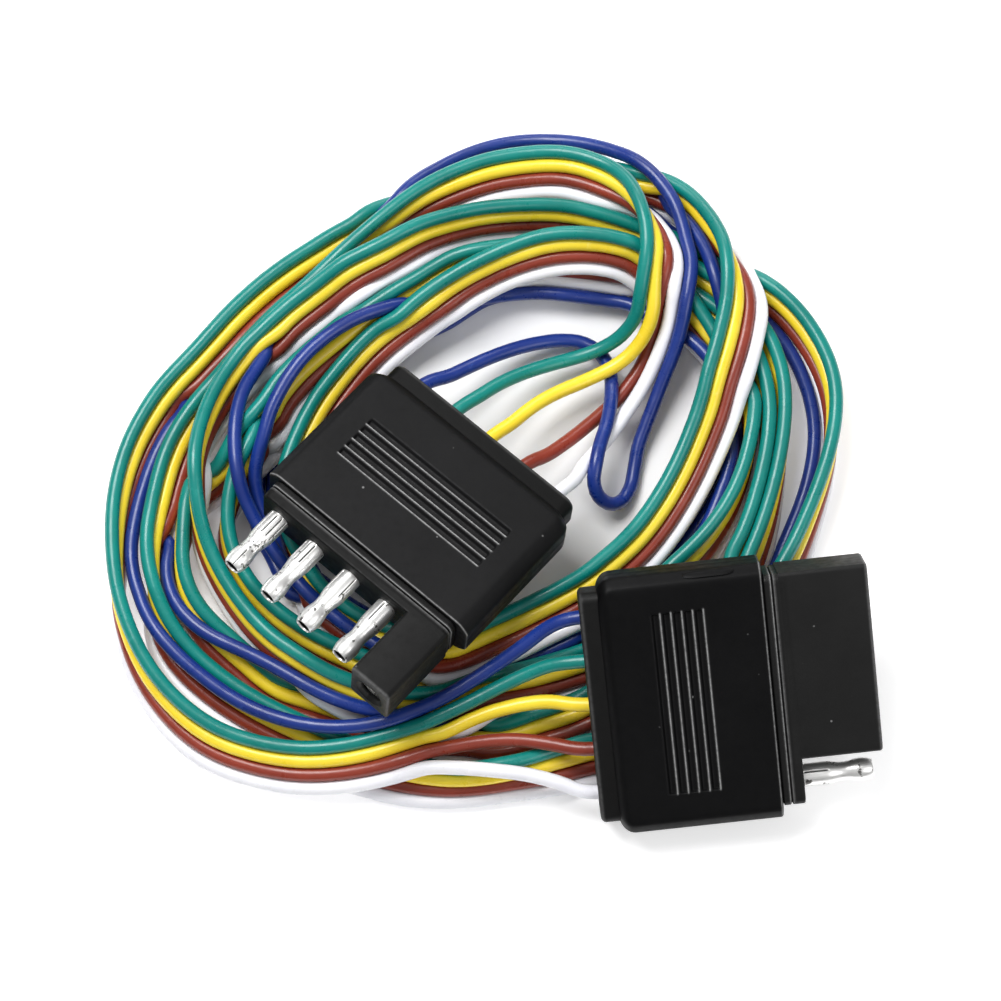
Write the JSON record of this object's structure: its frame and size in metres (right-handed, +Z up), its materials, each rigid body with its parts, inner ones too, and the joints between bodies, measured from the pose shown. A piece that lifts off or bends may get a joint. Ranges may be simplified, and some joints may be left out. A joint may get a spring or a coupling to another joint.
{
  "type": "trailer wiring connector",
  "caption": "Flat trailer wiring extension: two moulded black connectors, one with bullet pins and a prong and one with a socket shell, joined by coloured wires in a loose coil",
  "frame": {"origin": "on the ground, at the centre of the box round the two connectors (without the wires)", "axes": "+X towards the mating face of the socket connector, to the right seen from the reference side; +Y away from that side; +Z up"},
  "size_m": [0.1728, 0.1635, 0.0368],
  "materials": {
    "black_overmould": "semi-matt moulded, faint sheen",
    "black_carrier": "semi-matt moulded",
    "nickel_plate": "bright nickel-plated rolled brass",
    "copper_strand": "bare copper strand",
    "pvc_blue": "soft PVC with a satin gloss",
    "pvc_green": "soft PVC with a satin gloss",
    "pvc_yellow": "soft PVC with a satin gloss",
    "pvc_brown": "soft PVC with a satin gloss",
    "pvc_white": "soft PVC with a satin gloss"
  },
  "bodies": {
    "root": {"grip_a": "black_overmould", "carrier_a": "black_carrier", "blue_pin_a": "nickel_plate", "blue_tail_a": "pvc_blue", "blue_conductor_a": "copper_strand", "blue_lead_a": "pvc_blue", "green_pin_a": "nickel_plate", "green_tail_a": "pvc_green", "green_conductor_a": "copper_strand", "green_lead_a": "pvc_green", "yellow_pin_a": "nickel_plate", "yellow_tail_a": "pvc_yellow", "yellow_conductor_a": "copper_strand", "yellow_lead_a": "pvc_yellow", "brown_pin_a": "nickel_plate", "brown_tail_a": "pvc_brown", "brown_conductor_a": "copper_strand", "brown_lead_a": "pvc_brown", "white_socket_a": "nickel_plate", "white_tail_a": "pvc_white", "white_conductor_a": "copper_strand", "white_lead_a": "pvc_white", "grip_b": "black_overmould", "carrier_b": "black_carrier", "blue_socket_b": "nickel_plate", "blue_tail_b": "pvc_blue", "blue_conductor_b": "copper_strand", "blue_lead_b": "pvc_blue", "green_socket_b": "nickel_plate", "green_tail_b": "pvc_green", "green_conductor_b": "copper_strand", "green_lead_b": "pvc_green", "yellow_socket_b": "nickel_plate", "yellow_tail_b": "pvc_yellow", "yellow_conductor_b": "copper_strand", "yellow_lead_b": "pvc_yellow", "brown_socket_b": "nickel_plate", "brown_tail_b": "pvc_brown", "brown_conductor_b": "copper_strand", "brown_lead_b": "pvc_brown", "white_pin_b": "nickel_plate", "white_tail_b": "pvc_white", "white_conductor_b": "copper_strand", "white_lead_b": "pvc_white", "wire_coil": "pvc_green"}
  },
  "joints": []
}
